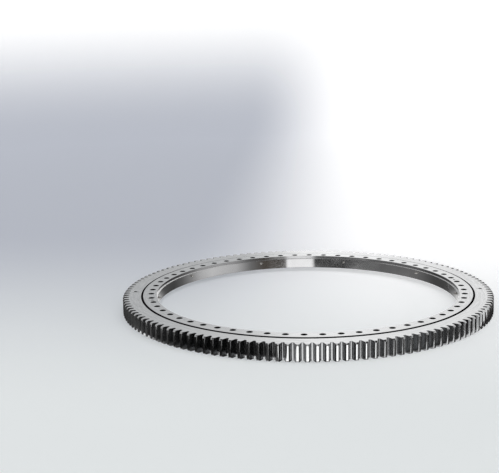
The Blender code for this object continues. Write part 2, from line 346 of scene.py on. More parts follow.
def gothic_groove(side):
    """One ring's ball groove from top to bottom, two arcs that touch the ball at 45 degrees."""
    shift = (GROOVE_RADIUS - BALL_RADIUS) * math.sqrt(0.5)
    reach = GROOVE_RADIUS + GROOVE_PLAY
    wall = (GEAR_WALL_RADIUS - INNER_WALL_RADIUS) / 2
    start = math.acos((wall + shift) / reach)
    end = math.asin(shift / reach)
    upper = []
    for step in range(GROOVE_STEPS + 1):
        angle = start + (end - start) * step / GROOVE_STEPS
        upper.append((reach * math.cos(angle) - shift, reach * math.sin(angle) - shift))
    points = [(BALL_CIRCLE_RADIUS + side * out, TRACK_HEIGHT + up) for out, up in upper]
    points += [(BALL_CIRCLE_RADIUS + side * out, TRACK_HEIGHT - up) for out, up in reversed(upper[:-1])]
    return points


def involute(angle):
    return math.tan(angle) - angle


def tooth_half_angle(radius):
    """Half the angle that an involute tooth fills at this radius."""
    base_radius = PITCH_RADIUS * math.cos(PRESSURE_ANGLE)
    at_radius = math.acos(base_radius / radius)
    at_pitch = (math.pi / 2 + 2 * PROFILE_SHIFT * math.tan(PRESSURE_ANGLE)) / TEETH
    return at_pitch + involute(PRESSURE_ANGLE) - involute(at_radius)


def half_tooth(tip_radius):
    """(radius, angle from the tooth's centre line), from mid gap to mid tip."""
    corner_angle = tooth_half_angle(ROOT_RADIUS)
    land_end = corner_angle + 0.6 * ROOT_FILLET / ROOT_RADIUS
    flank_start = ROOT_RADIUS + ROOT_FILLET
    flank_angle = tooth_half_angle(flank_start)
    points = [(ROOT_RADIUS, math.pi / TEETH), (ROOT_RADIUS, land_end)]
    for step in range(1, FILLET_STEPS):
        t = step / FILLET_STEPS
        near = (1 - t) ** 2
        middle = 2 * t * (1 - t)
        radius = (near + middle) * ROOT_RADIUS + t * t * flank_start
        angle = near * land_end + middle * corner_angle + t * t * flank_angle
        points.append((radius, angle))
    for step in range(FLANK_STEPS + 1):
        radius = flank_start + (tip_radius - TIP_CORNER - flank_start) * step / FLANK_STEPS
        points.append((radius, tooth_half_angle(radius)))
    tip_half = tooth_half_angle(tip_radius)
    points.append((tip_radius - 0.3 * TIP_CORNER, tip_half - 0.3 * TIP_CORNER / tip_radius))
    points.append((tip_radius, tip_half - TIP_CORNER / tip_radius))
    points.append((tip_radius, 0))
    return points


def gear_outline(tip_radius, inset):
    """The toothed outline as rows of x and y, counter-clockwise, moved inwards by the inset."""
    half = half_tooth(tip_radius)
    left = [(radius, -angle) for radius, angle in half]
    right = [(radius, angle) for radius, angle in reversed(half[1:-1])]
    tooth = np.array(left + right)
    centres = FIRST_TOOTH_AZIMUTH + math.tau * np.arange(TEETH) / TEETH
    angles = (centres[:, None] + tooth[None, :, 1]).ravel()
    radii = np.tile(tooth[:, 0], TEETH)
    points = np.stack([radii * np.cos(angles), radii * np.sin(angles)], axis=1)
    along = np.roll(points, -1, axis=0) - np.roll(points, 1, axis=0)
    along /= np.linalg.norm(along, axis=1)[:, None]
    outward = np.stack([along[:, 1], -along[:, 0]], axis=1)
    return points - inset * outward


def gear_wall_profile():
    """The gear ring's inner side from its top face to its bottom face."""
    profile = [(UPPER_REBATE_RADIUS + EDGE_CHAMFER, GEAR_TOP)]
    profile += [(UPPER_REBATE_RADIUS, GEAR_TOP - EDGE_CHAMFER)]
    profile += [(UPPER_REBATE_RADIUS, UPPER_REBATE_BOTTOM), (GEAR_WALL_RADIUS, UPPER_REBATE_BOTTOM)]
    profile += gothic_groove(+1)
    profile += [(GEAR_WALL_RADIUS, GEAR_BOTTOM + EDGE_CHAMFER)]
    profile += [(GEAR_WALL_RADIUS + EDGE_CHAMFER, GEAR_BOTTOM)]
    return profile


def gear_ring_mesh():
    """Teeth, end chamfers, edge breaks, both faces and the inner side as one closed mesh."""
    end_tip = TIP_RADIUS - TOOTH_END_CHAMFER
    levels = [
        (GEAR_BOTTOM, end_tip, TOOTH_EDGE_BREAK),
        (GEAR_BOTTOM + TOOTH_EDGE_BREAK, end_tip + TOOTH_EDGE_BREAK, 0),
        (GEAR_BOTTOM + TOOTH_END_CHAMFER, TIP_RADIUS, 0),
        (GEAR_TOP - TOOTH_END_CHAMFER, TIP_RADIUS, 0),
        (GEAR_TOP - TOOTH_EDGE_BREAK, end_tip + TOOTH_EDGE_BREAK, 0),
        (GEAR_TOP, end_tip, TOOTH_EDGE_BREAK),
    ]
    bm = bmesh.new()
    rings = []
    for height, tip_radius, inset in levels:
        outline = gear_outline(tip_radius, inset)
        rings.append([bm.verts.new((x, y, height)) for x, y in outline])
    for low, high in zip(rings, rings[1:]):
        join_loops(bm, low, high)

    wall = gear_wall_profile()
    face_radius = ROOT_RADIUS - ROOT_FILLET
    section = [(face_radius, GEAR_TOP), *wall, (face_radius, GEAR_BOTTOM)]
    columns = TEETH * WALL_STEPS_PER_TOOTH
    first = FIRST_TOOTH_AZIMUTH - math.pi / TEETH
    walls = []
    for column in range(columns):
        azimuth = first + math.tau * column / columns
        x = math.cos(azimuth)
        y = math.sin(azimuth)
        walls.append([bm.verts.new((radius * x, radius * y, height)) for radius, height in section])
    for here, there in zip(walls, walls[1:] + walls[:1]):
        for step in range(len(section) - 1):
            bm.faces.new((here[step], here[step + 1], there[step + 1], there[step]))

    count = len(rings[0])
    per_tooth = count // TEETH
    for tooth in range(TEETH):
        outline = [(tooth * per_tooth + step) % count for step in range(per_tooth + 1)]
        start = tooth * WALL_STEPS_PER_TOOTH
        base = [(start + step) % columns for step in reversed(range(WALL_STEPS_PER_TOOTH + 1))]
        bm.faces.new([rings[-1][i] for i in outline] + [walls[i][0] for i in base])
        bm.faces.new([rings[0][i] for i in outline] + [walls[i][-1] for i in base])
    return finished_mesh("gear_ring_forging", bm)


def gear_ring_surface(radius, height, upright):
    """Which steel a face of the gear ring shows."""
    if radius > ROOT_RADIUS - ROOT_FILLET and upright < FLAT:
        turned = radius > TIP_RADIUS - AT_TIP or upright > SLOPED
        return "tooth_tip" if turned else "tooth_flank"
    if radius < GEAR_WALL_RADIUS + GROOVE_RADIUS and upright < FLAT:
        return "raceway"
    inside = GEAR_BOTTOM + AT_FACE < height < GEAR_TOP - AT_FACE
    return "drilled" if inside or upright < FLAT else "face"


def build_gear_ring(steels):
    """The geared ring, tapped from below for its bolts and from above for two eye bolts."""
    ring = new_object("gear_ring_forging", gear_ring_mesh())
    tapped = tapped_hole(GEAR_BOTTOM, +1, TAPPED_DEPTH, TAPPED_THREAD, TAPPED_TURNS)
    eye = tapped_hole(GEAR_TOP, -1, EYE_HOLE_DEPTH, EYE_THREAD, EYE_TURNS)
    stacks = []
    for index in range(TAPPED_COUNT):
        place = vertical_frame(TAPPED_CIRCLE_RADIUS, math.tau * index / TAPPED_COUNT)
        stacks.append((place, tapped, SMALL_HOLE_SIDES))
    for azimuth in EYE_HOLE_AZIMUTHS:
        stacks.append((vertical_frame(TAPPED_CIRCLE_RADIUS, azimuth), eye, HOLE_SIDES))
    cut_holes(ring, stacks)
    names = ("face", "tooth_flank", "tooth_tip", "raceway", "drilled")
    paint_faces(ring, {name: steels[name] for name in names}, gear_ring_surface)
    finish_piece(ring, "outer_gear_ring", "gear_ring")


def inner_ring_profile():
    """The inner ring's section: outer side from the top down, then the bore from the bottom up."""
    half = EDGE_CHAMFER / 2
    profile = [(INNER_WALL_RADIUS - half, INNER_TOP), (INNER_WALL_RADIUS, INNER_TOP - half)]
    profile += gothic_groove(-1)
    profile += [(INNER_WALL_RADIUS, LOWER_REBATE_TOP), (LOWER_REBATE_RADIUS, LOWER_REBATE_TOP)]
    profile += [(LOWER_REBATE_RADIUS, INNER_BOTTOM + half), (LOWER_REBATE_RADIUS - half, INNER_BOTTOM)]
    profile += [(BORE_RADIUS + EDGE_CHAMFER, INNER_BOTTOM), (BORE_RADIUS, INNER_BOTTOM + EDGE_CHAMFER)]
    profile += [(BORE_RADIUS, LEDGE_HEIGHT - half), (BORE_RADIUS + half, LEDGE_HEIGHT)]
    profile += [(COUNTERBORE_RADIUS - half, LEDGE_HEIGHT), (COUNTERBORE_RADIUS, LEDGE_HEIGHT + half)]
    profile += [(COUNTERBORE_RADIUS, INNER_TOP - half), (COUNTERBORE_RADIUS + half, INNER_TOP)]
    return profile


def inner_ring_surface(radius, height, upright):
    """Which steel a face of the inner ring shows."""
    if radius > INNER_WALL_RADIUS - GROOVE_RADIUS and upright < FLAT:
        return "raceway"
    near_bore = radius < COUNTERBORE_RADIUS + EDGE_CHAMFER
    if near_bore and upright < FLAT and height < INNER_TOP - EDGE_CHAMFER:
        if upright > SLOPED and height > NIPPLE_HEIGHT:
            return "ledge"
        # The counterbore wall ("recess") takes a darker steel: painted shade in the recess
        return "recess" if height > LEDGE_HEIGHT else "bore"
    if radius < COUNTERBORE_RADIUS and height > NIPPLE_HEIGHT and upright > FLAT:
        return "ledge"
    inside = INNER_BOTTOM + HOLE_CHAMFER < height < INNER_TOP - HOLE_CHAMFER
    return "drilled" if inside else "face"


def nipple_azimuths():
    return [FIRST_NIPPLE_AZIMUTH + math.tau * index / NIPPLE_COUNT for index in range(NIPPLE_COUNT)]


def build_inner_ring(steels):
    """The bolted ring: turned, then drilled for bolts, spare hole, nipples, plug and pin."""
    bm = bmesh.new()
    add_ring(bm, inner_ring_profile(), RING_SEGMENTS)
    ring = new_object("inner_ring_forging", finished_mesh("inner_ring_forging", bm))

    bolt = through_hole(INNER_BOTTOM, INNER_TOP, BOLT_HOLE_RADIUS)
    spare = tapped_hole(INNER_TOP, -1, EYE_HOLE_DEPTH, SPARE_THREAD, SPARE_TURNS)
    bolts = []
    for index in range(BOLT_COUNT):
        place = vertical_frame(BOLT_CIRCLE_RADIUS, math.tau * index / BOLT_COUNT)
        bolts.append((place, bolt, BOLT_HOLE_SIDES))
    bolts.append((vertical_frame(BOLT_CIRCLE_RADIUS, SPARE_HOLE_AZIMUTH), spare, HOLE_SIDES))
    cut_holes(ring, bolts)

    seat = BORE_RADIUS + NIPPLE_SEAT_DEPTH
    grease = [
        (BORE_RADIUS - THROUGH, NIPPLE_THREAD_RADIUS + THROUGH),
        (BORE_RADIUS + FIT, NIPPLE_THREAD_RADIUS + 2 * FIT),
        (seat, NIPPLE_THREAD_RADIUS + 2 * FIT),
        (seat, GREASE_CHANNEL_RADIUS),
        (BALL_CIRCLE_RADIUS - BALL_RADIUS, GREASE_CHANNEL_RADIUS),
    ]
    plug = [
        (BORE_RADIUS - THROUGH, PLUG_RADIUS + FIT),
        (BALL_CIRCLE_RADIUS, PLUG_RADIUS + FIT),
    ]
    radial = []
    for azimuth in nipple_azimuths():
        radial.append((radial_frame(NIPPLE_HEIGHT, azimuth), grease, SMALL_HOLE_SIDES))
    radial.append((radial_frame(TRACK_HEIGHT, PLUG_AZIMUTH), plug, PLUG_SIDES))
    cut_holes(ring, radial)
    pin = [
        (PIN_BOTTOM - FIT, PIN_RADIUS + FIT),
        (INNER_TOP - HOLE_CHAMFER / 2, PIN_RADIUS + FIT),
        (INNER_TOP + THROUGH, PIN_RADIUS + FIT + HOLE_CHAMFER / 2 + THROUGH),
    ]
    cut_holes(ring, [(vertical_frame(BOLT_CIRCLE_RADIUS, PLUG_AZIMUTH), pin, HOLE_SIDES)])
    names = ("face", "bore", "recess", "ledge", "raceway", "drilled")
    paint_faces(ring, {name: steels[name] for name in names}, inner_ring_surface)
    finish_piece(ring, "inner_ring", "inner_ring")


# ---------------------------------------------------------------- small parts


def build_seals(rubber):
    """Rubber rings with a lip on the other ring; the upper one also covers the gear ring's edge."""
    lip = INNER_WALL_RADIUS + FIT
    back = UPPER_REBATE_RADIUS - FIT
    low = UPPER_SEAL_BOTTOM - 0.0001
    top = UPPER_SEAL_TOP
    lip_top = INNER_TOP - 0.0003
    upper = [
        (back, low),
        (back, GEAR_TOP + FLANGE_LIFT),
        (UPPER_REBATE_RADIUS + FLANGE_WIDTH, GEAR_TOP + FLANGE_LIFT),
        (UPPER_REBATE_RADIUS + FLANGE_WIDTH - 0.0004, GEAR_TOP + FLANGE_HEIGHT),
        (back - 0.0010, GEAR_TOP + FLANGE_HEIGHT),
        (back - 0.0018, top),
        (lip + 0.0022, top),
        (lip + 0.0012, top + 0.0004),
        (lip + 0.0008, lip_top - 0.0004),
        (lip + 0.0005, lip_top),
        (lip, lip_top),
        (lip, lip_top - 0.0008),
        (lip + 0.0004, top - 0.0012),
        (lip + 0.0014, top - 0.0020),
        (lip + 0.0014, low),
    ]
    wiper = GEAR_WALL_RADIUS - FIT
    root = LOWER_REBATE_RADIUS + FIT
    low = LOWER_SEAL_BOTTOM
    top = LOWER_SEAL_TOP + 0.0001
    lower = [
        (root, top),
        (root, low + 0.0003),
        (root + 0.0005, low),
        (wiper - 0.0022, low + 0.0001),
        (wiper - 0.0009, low + 0.0004),
        (wiper - 0.0001, low + 0.0009),
        (wiper, low + 0.0013),
        (wiper - 0.0005, low + 0.0015),
        (wiper - 0.0014, low + 0.0016),
        (wiper - 0.0014, top),
    ]
    for name, node, profile, body in (
        ("upper_seal_lip_ring", "upper_seal", upper, "gear_ring"),
        ("lower_seal_lip_ring", "lower_seal", lower, "inner_ring"),
    ):
        bm = bmesh.new()
        add_ring(bm, profile, RING_SEGMENTS)
        seal = new_object(name, finished_mesh(name, bm, sharp_degrees=50))
        finish_piece(seal, node, body, rubber)


def build_loading_plug(steel):
    """The plug: chamfered at the bore, tapped for its puller, hollowed to the track at its end."""
    face = BORE_RADIUS + FIT
    bm = bmesh.new()
    body = [
        (face, PLUG_RADIUS - PLUG_CHAMFER),
        (face + PLUG_CHAMFER, PLUG_RADIUS),
        (INNER_WALL_RADIUS - PLUG_SETBACK, PLUG_RADIUS),
    ]
    add_turned(bm, radial_frame(TRACK_HEIGHT, PLUG_AZIMUTH), body, PLUG_SIDES)
    plug = new_object("loading_plug_turned", finished_mesh("loading_plug_turned", bm))

    puller = tapped_hole(face, +1, PULLER_DEPTH, SPARE_THREAD, PULLER_TURNS)
    cut_holes(plug, [(radial_frame(TRACK_HEIGHT, PLUG_AZIMUTH), puller, HOLE_SIDES)])
    pin = [(PIN_BOTTOM - FIT, PIN_RADIUS + FIT), (INNER_TOP + THROUGH, PIN_RADIUS + FIT)]
    cut_holes(plug, [(vertical_frame(BOLT_CIRCLE_RADIUS, PLUG_AZIMUTH), pin, HOLE_SIDES)])

    bm = bmesh.new()
    reach = 3
    stations = []
    for step in range(-reach, reach + 1):
        place = track_frame(PLUG_AZIMUTH + PLUG_TRACK_HALF * step / reach)
        stations.append((place, 0, GROOVE_RADIUS))
    loops = add_loops(bm, stations, PLUG_SIDES)
    bm.faces.new(loops[0])
    bm.faces.new(loops[-1])
    cut_away(plug, bm)
    finish_piece(plug, "loading_plug", "inner_ring", steel)


def build_plug_pin(steel):
    bm = bmesh.new()
    profile = [
        (PIN_BOTTOM, PIN_RADIUS - 0.0008),
        (PIN_BOTTOM + 0.0008, PIN_RADIUS - 0.0002),
        (PIN_TOP - 0.0008, PIN_RADIUS),
        (PIN_TOP - 0.0002, PIN_RADIUS - 0.0004),
        (PIN_TOP, PIN_RADIUS - 0.0012),
    ]
    add_turned(bm, vertical_frame(BOLT_CIRCLE_RADIUS, PLUG_AZIMUTH), profile, 32)
    pin = new_object("loading_plug_taper_pin", finished_mesh("loading_plug_taper_pin", bm))
    finish_piece(pin, "loading_plug_pin", "inner_ring", steel)


def build_grease_nipples(steel):
    """A threaded stem, a hexagon with chamfered corners, a waist and a head with a ball valve."""
    out = radial_frame(NIPPLE_HEIGHT, 0)
    face = BORE_RADIUS - 0.0004
    bm = bmesh.new()
    stem = [(face, NIPPLE_THREAD_RADIUS)]
    for turn in range(8):
        start = BORE_RADIUS + 0.001 + 0.00125 * turn
        stem += [(start, NIPPLE_THREAD_RADIUS), (start + 0.0003, NIPPLE_THREAD_RADIUS - 0.0005)]
        stem += [(start + 0.0006, NIPPLE_THREAD_RADIUS - 0.0005), (start + 0.0009, NIPPLE_THREAD_RADIUS)]
    add_turned(bm, out, stem, 20)
    hexagon = [
        (face - 0.0002, 0.0041),
        (face - 0.0007, 0.0047),
        (face - 0.0031, 0.0047),
        (face - 0.0037, 0.0040),
    ]
    add_turned(bm, out, hexagon, 6)
    head = [(face - 0.0036, 0.0038), (face - 0.0046, 0.0030), (face - 0.0054, 0.0024)]
    head += [(face - 0.0060, 0.0024), (face - 0.0068, 0.0031), (face - 0.0074, 0.0032)]
    head += [(face - 0.0085, 0.0020), (face - 0.0087, 0.0014), (face - 0.0082, 0.0011)]
    add_turned(bm, out, head, 24)
    valve = [(face - 0.0081, 0.0010), (face - 0.0084, 0.0008), (face - 0.0086, 0.0004)]
    add_turned(bm, out, valve, 16)
    mesh = finished_mesh("grease_nipple_fitting", bm)
    for number, azimuth in enumerate(nipple_azimuths(), start=1):
        nipple = new_object(f"grease_nipple_fitting_{number:02d}", mesh, azimuth)
        finish_piece(nipple, f"grease_nipple_{number:02d}", "inner_ring", steel)


def ball_row_mesh():
    """Six balls, one at each ball pitch along the track."""
    bm = bmesh.new()
    for index in range(BALLS_PER_CHAIN):
        place = track_frame(math.tau * index / BALL_COUNT)
        bmesh.ops.create_uvsphere(bm, u_segments=24, v_segments=14, radius=BALL_RADIUS, matrix=place)
    return finished_mesh("ball_row", bm, sharp_degrees=60)


def spacer_row_mesh():
    """Six spacers, hollowed to the balls on both sides and bored for grease."""
    half_pitch = math.pi * BALL_CIRCLE_RADIUS / BALL_COUNT
    dish_radius = BALL_RADIUS + 0.0002
    dish = []
    steps = 5
    for step in range(steps + 1):
        radius = SPACER_HOLE_RADIUS + (SPACER_RADIUS - 0.0006 - SPACER_HOLE_RADIUS) * step / steps
        dish.append((half_pitch - math.sqrt(dish_radius**2 - radius**2), radius))
    rim = dish[-1][0]
    profile = dish + [(rim - 0.0004, SPACER_RADIUS), (0.0004 - rim, SPACER_RADIUS)]
    profile += [(-along, radius) for along, radius in reversed(dish)]
    bm = bmesh.new()
    for index in range(BALLS_PER_CHAIN):
        place = track_frame(math.tau * (index + 0.5) / BALL_COUNT)
        add_hollow_turned(bm, place, profile, 20)
    return finished_mesh("spacer_row", bm)


def build_ball_train(ball_steel, spacer_polymer):
    rows = (("balls", ball_row_mesh(), ball_steel), ("spacers", spacer_row_mesh(), spacer_polymer))
    for index in range(CHAIN_COUNT):
        azimuth = math.tau * index / CHAIN_COUNT
        for name, mesh, material in rows:
            row = new_object(f"{name}_{index + 1:02d}", mesh, azimuth)
            finish_piece(row, f"ball_chain_{index + 1:02d}", "ball_train", material)


# ---------------------------------------------------------------- materials


def set_stops(ramp, stops):
    """Sets a colour ramp to (position, colour) stops in rising order."""
    elements = ramp.elements
    elements[0].position = stops[0][0]
    elements[0].color = (*stops[0][1], 1)
    elements[1].position = stops[-1][0]
    elements[1].color = (*stops[-1][1], 1)
    for position, colour in stops[1:-1]:
        elements.new(position).color = (*colour, 1)


class Nodes:
    """A short way to build a node tree and, for a material, its Principled shader."""

    def __init__(self, owner):
        owner.use_nodes = True
        self.owner = owner
        self.tree = owner.node_tree
        self.shader = self.tree.nodes.get("Principled BSDF")

    def add(self, kind, **settings):
        node = self.tree.nodes.new(kind)
        for key, value in settings.items():
            setattr(node, key, value)
        return node

    def link(self, source, target):
        """Links an output to an input, or sets the input when the source is a plain value."""
        if isinstance(source, bpy.types.NodeSocket):
            self.tree.links.new(source, target)
        elif isinstance(source, tuple) and len(source) < len(target.default_value):
            target.default_value = (*source, 1)
        else:
            target.default_value = source

    def set(self, name, value):
        self.link(value, self.shader.inputs[name])

    def coordinate(self, kind):
        return self.add("ShaderNodeTexCoord").outputs[kind]

    def split(self, vector):
        node = self.add("ShaderNodeSeparateXYZ")
        self.link(vector, node.inputs["Vector"])
        return node.outputs

    def math(self, operation, first, second=0.0):
        node = self.add("ShaderNodeMath", operation=operation)
        self.link(first, node.inputs[0])
        self.link(second, node.inputs[1])
        return node.outputs["Value"]

    def noise(self, vector, scale=1.0, detail=3.0):
        node = self.add("ShaderNodeTexNoise")
        self.link(vector, node.inputs["Vector"])
        node.inputs["Scale"].default_value = scale
        node.inputs["Detail"].default_value = detail
        return node.outputs["Fac"]

    def ranged(self, value, low, high, from_low=0.3, from_high=0.7, smooth=False):
        node = self.add("ShaderNodeMapRange")
        node.interpolation_type = "SMOOTHSTEP" if smooth else "LINEAR"
        self.link(value, node.inputs["Value"])
        node.inputs["From Min"].default_value = from_low
        node.inputs["From Max"].default_value = from_high
        node.inputs["To Min"].default_value = low
        node.inputs["To Max"].default_value = high
        return node.outputs["Result"]

    def ramp(self, value, stops):
        node = self.add("ShaderNodeValToRGB")
        set_stops(node.color_ramp, stops)
        self.link(value, node.inputs["Fac"])
        return node.outputs["Color"]

    def around(self, turn, stops):
        """A colour by azimuth, from a turn of -0.5 to 0.5 and (degrees, colour) stops."""
        shares = [((degrees + 180) / 360, colour) for degrees, colour in stops]
        return self.ramp(self.math("ADD", turn, 0.5), shares)

    def mottled(self, value, dark, light):
        """A colour that goes from dark to light over the middle of a noise's range."""
        return self.ramp(value, [(0.3, dark), (0.7, light)])

    def mix(self, share, first, second):
        node = self.add("ShaderNodeMixRGB")
        self.link(share, node.inputs["Fac"])
        self.link(first, node.inputs["Color1"])
        self.link(second, node.inputs["Color2"])
        return node.outputs["Color"]

    def bump(self, layers, strength=0.5):
        """Bumps one (height map, depth) after another into the shader's normal."""
        normal = None
        for height, depth in layers:
            node = self.add("ShaderNodeBump")
            node.inputs["Strength"].default_value = strength
            node.inputs["Distance"].default_value = depth
            self.link(height, node.inputs["Height"])
            if normal is not None:
                self.link(normal, node.inputs["Normal"])
            normal = node.outputs["Normal"]
        self.link(normal, self.shader.inputs["Normal"])

    def round_axis(self, radial_scale, angular_scale, height_scale):
        """(radius, azimuth, height) round the slewing axis, each with its own scale."""
        position = self.coordinate("Object")
        parts = self.split(position)
        flat = self.add("ShaderNodeVectorMath", operation="MULTIPLY")
        self.link(position, flat.inputs[0])
        flat.inputs[1].default_value = (1, 1, 0)
        length = self.add("ShaderNodeVectorMath", operation="LENGTH")
        self.link(flat.outputs["Vector"], length.inputs[0])
        join = self.add("ShaderNodeCombineXYZ")
        self.link(self.math("MULTIPLY", length.outputs["Value"], radial_scale), join.inputs["X"])
        turn = self.math("ARCTAN2", parts["Y"], parts["X"])
        self.link(self.math("MULTIPLY", turn, angular_scale), join.inputs["Y"])
        self.link(self.math("MULTIPLY", parts["Z"], height_scale), join.inputs["Z"])
        return join.outputs["Vector"]


def material_nodes(name):
    return Nodes(bpy.data.materials.new(name))


def turned_steel(name, colour, rough, marks=700, depth=0.00002, contrast=0.10):
    """Machined steel: tool marks round the axis, short streaks, a fine grain and some cloudiness."""
    nodes = material_nodes(name)
    position = nodes.coordinate("Object")
    nodes.set("Metallic", 1.0)
    darker = tuple((1 - contrast) * c for c in colour)
    lighter = tuple((1 + contrast / 2) * c for c in colour)
    streaks = nodes.noise(nodes.round_axis(240, 14, 240))
    nodes.link(nodes.mottled(streaks, darker, lighter), nodes.shader.inputs["Base Color"])
    cloud = nodes.noise(position, 11.0)
    nodes.link(nodes.ranged(cloud, *rough), nodes.shader.inputs["Roughness"])
    tool_marks = nodes.noise(nodes.round_axis(marks, 1.2, marks), detail=2.0)
    grain = nodes.noise(position, 900.0, detail=1.0)
    nodes.bump(((tool_marks, depth), (grain, depth / 2)))
    return nodes.owner


def hobbed_steel(name, colour, rough):
    """Tooth flanks: feed marks one above the other along the tooth, and painted shade that makes them a
    little darker at the root.
    """
    nodes = material_nodes(name)
    nodes.set("Metallic", 1.0)
    darker = tuple(0.85 * c for c in colour)
    # Painted shade: darker towards the root of the tooth gap
    radius = nodes.split(nodes.round_axis(1, 1, 1))["X"]
    tip_share = nodes.ranged(radius, 0.3, 0.7, ROOT_RADIUS, TIP_RADIUS)
    nodes.link(nodes.mottled(tip_share, darker, colour), nodes.shader.inputs["Base Color"])
    blotches = nodes.noise(nodes.coordinate("Object"), 40.0)
    nodes.link(nodes.ranged(blotches, *rough), nodes.shader.inputs["Roughness"])
    feed = nodes.noise(nodes.round_axis(30, 40, 420), detail=2.0)
    grain = nodes.noise(nodes.coordinate("Object"), 700.0, detail=1.0)
    nodes.bump(((feed, 0.00003), (grain, 0.00001)))
    return nodes.owner


def ground_steel(name, colour, rough):
    """Ground and honed surfaces with faint scratches round the axis."""
    nodes = material_nodes(name)
    nodes.set("Metallic", 1.0)
    cloud = nodes.noise(nodes.coordinate("Object"), 14.0)
    darker = tuple(0.92 * c for c in colour)
    nodes.link(nodes.mottled(cloud, darker, colour), nodes.shader.inputs["Base Color"])
    nodes.link(nodes.ranged(cloud, *rough), nodes.shader.inputs["Roughness"])
    scratches = nodes.noise(nodes.round_axis(900, 3, 900), detail=2.0)
    nodes.bump(((scratches, 0.000006),), 0.4)
    return nodes.owner


def dark_dull_steel(name, dark, light):
    """Nearly black, dull steel with drill marks. On the drilled walls, which are bare steel, the black
    is painted shade in the holes.
    """
    nodes = material_nodes(name)
    patches = nodes.noise(nodes.coordinate("Object"), 120.0)
    # Near-black mottled colour: on hole walls this is painted shade
    nodes.link(nodes.mottled(patches, grey(dark), grey(light)), nodes.shader.inputs["Base Color"])
    nodes.link(nodes.ranged(patches, 0.55, 0.75), nodes.shader.inputs["Roughness"])
    nodes.set("Specular IOR Level", 0.1)
    nodes.bump(((nodes.noise(nodes.round_axis(60, 60, 900), detail=2.0), 0.00005),))
    return nodes.owner


def seal_rubber():
    nodes = material_nodes("seal_rubber")
    fine = nodes.noise(nodes.coordinate("Object"), 700.0)
    dust = nodes.noise(nodes.coordinate("Object"), 30.0)
    colour = nodes.mottled(dust, (0.003, 0.003, 0.0035), (0.008, 0.008, 0.009))
    nodes.link(colour, nodes.shader.inputs["Base Color"])
    nodes.link(nodes.ranged(fine, 0.5, 0.68), nodes.shader.inputs["Roughness"])
    nodes.set("Specular IOR Level", 0.0)
    nodes.bump(((fine, 0.00004),))
    return nodes.owner


def spacer_polymer():
    nodes = material_nodes("spacer_polymer")
    flow = nodes.noise(nodes.coordinate("Object"), 60.0)
    colour = nodes.mottled(flow, (0.62, 0.58, 0.48), (0.72, 0.69, 0.60))
    nodes.link(colour, nodes.shader.inputs["Base Color"])
    nodes.link(nodes.ranged(flow, 0.36, 0.5), nodes.shader.inputs["Roughness"])
    nodes.set("Subsurface Weight", 0.1)
    nodes.bump(((nodes.noise(nodes.coordinate("Object"), 500.0), 0.00003),))
    return nodes.owner


# ---------------------------------------------------------------- studio


def grey(value, warmth=0.0):
    return (value * (1 + warmth), value, value * (1 - warmth))


# What the steel mirrors, as (azimuth in degrees, brightness), from -180 to 180
BORE_SURROUNDINGS = [
    (-180, grey(0.20)),
    (-165, grey(0.20)),
    (-142, grey(0.17)),
    (-128, grey(0.10)),
    (-119, grey(0.06)),
    (-95.0, grey(0.06)),
    (-93.8, grey(1.45)),
    (-72.8, grey(1.45)),
    (-71.8, grey(0.08, 0.1)),
    (-54, grey(0.08, 0.2)),
    (-42, grey(0.26)),
    (-29, grey(0.76)),
    (-6, grey(0.95)),
    (6, grey(0.78)),
    (18, grey(0.40)),
    (30, grey(0.18)),
    (42, grey(0.10)),
    (100, grey(0.08)),
    (150, grey(0.10)),
    (172, grey(0.20)),
    (180, grey(0.20)),
]
TOOTH_SURROUNDINGS = [
    (-180, grey(0.5)),
    (-168, grey(0.38)),
    (-158, grey(0.55)),
    (-149, grey(0.85)),
    (-139, grey(1.3)),
    (-125, grey(1.9)),
    (-112, grey(1.9)),
    (-103, grey(1.3)),
    (-97, grey(1.3)),
    (-93, grey(2.4)),
    (-64, grey(2.3)),
    (-57, grey(0.5)),
    (-48, grey(0.14)),
    (-30, grey(0.04)),
    (-10, grey(0.02)),
    (45, grey(0.03)),
    (60, grey(0.15)),
    (80, grey(0.7)),
    (100, grey(0.8)),
    (120, grey(0.4)),
    (135, grey(0.05)),
    (155, grey(0.05)),
    (180, grey(0.5)),
]
# What the dark flags on the floor show, as (azimuth on the floor, brightness)
FLAG_SHADES = [
    (-180, grey(0.10)),
    (-170, grey(0.06)),
    (-158, grey(0.06)),
    (-146, grey(0.11)),
    (-138, grey(0.07)),
    (-130, grey(0.012)),
    (-112, grey(0.012)),
    (-104, grey(0.03)),
    (-97, grey(0.15)),
    (-60, grey(0.05)),
    (-20, grey(0.03)),
    (30, grey(0.05)),
    (180, grey(0.10)),
]
SKY_SURROUNDINGS = [
    (-180, grey(0.65)),
    (-140, grey(0.55)),
    (-90, grey(0.85)),
    (-40, grey(0.65)),
    (0, grey(0.75)),
    (40, grey(0.85)),
    (70, grey(1.0)),
    (83, grey(1.08)),
    (86, grey(1.19)),
    (89.3, grey(1.36)),
    (92.0, grey(1.28)),
    (93.2, grey(0.62, -0.015)),
    (101, grey(0.58, -0.015)),
    (140, grey(0.55)),
    (180, grey(0.65)),
]
HIGH_SKY_SURROUNDINGS = [
    (-180, grey(0.65)),
    (-140, grey(0.55)),
    (-90, grey(0.85)),
    (-40, grey(0.65)),
    (0, grey(0.75)),
    (40, grey(0.85)),
    (70, grey(1.0)),
    (83, grey(1.05)),
    (88, grey(1.15)),
    (90.5, grey(1.22)),
    (91.8, grey(1.18)),
    (94, grey(0.95)),
    (96, grey(0.82)),
    (98, grey(0.68, -0.015)),
    (140, grey(0.57)),
    (180, grey(0.65)),
]
SKY_TOP = grey(0.55)
CEILING_EDGE = grey(0.05)
CEILING = grey(0.9)
GROUND = grey(0.35)


